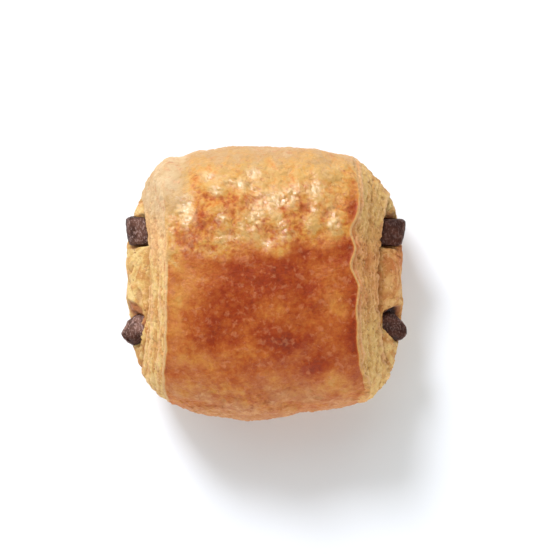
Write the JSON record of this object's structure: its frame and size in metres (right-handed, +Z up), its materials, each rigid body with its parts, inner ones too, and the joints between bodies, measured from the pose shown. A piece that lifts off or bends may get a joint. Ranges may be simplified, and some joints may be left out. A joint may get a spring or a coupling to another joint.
{
  "type": "mini pain au chocolat",
  "caption": "Small baked roll of flaky laminated dough with a browned, glazed top and chocolate sticks running through it and showing at both ends.",
  "frame": {"origin": "the middle of the surface that the pastry rests on, under the middle of its bounding box", "axes": "+X along the roll to its right end, +Y to the back, +Z up"},
  "size_m": [0.0628, 0.0614, 0.0362],
  "materials": {
    "baked_dough": "browned and egg-washed on top, pale and flaky at the cut ends",
    "chocolate": "dull dark chocolate with a little bloom"
  },
  "bodies": {
    "root": {"pastry": "baked_dough", "chocolate_stick_back": "chocolate", "chocolate_stick_front": "chocolate"}
  },
  "joints": []
}
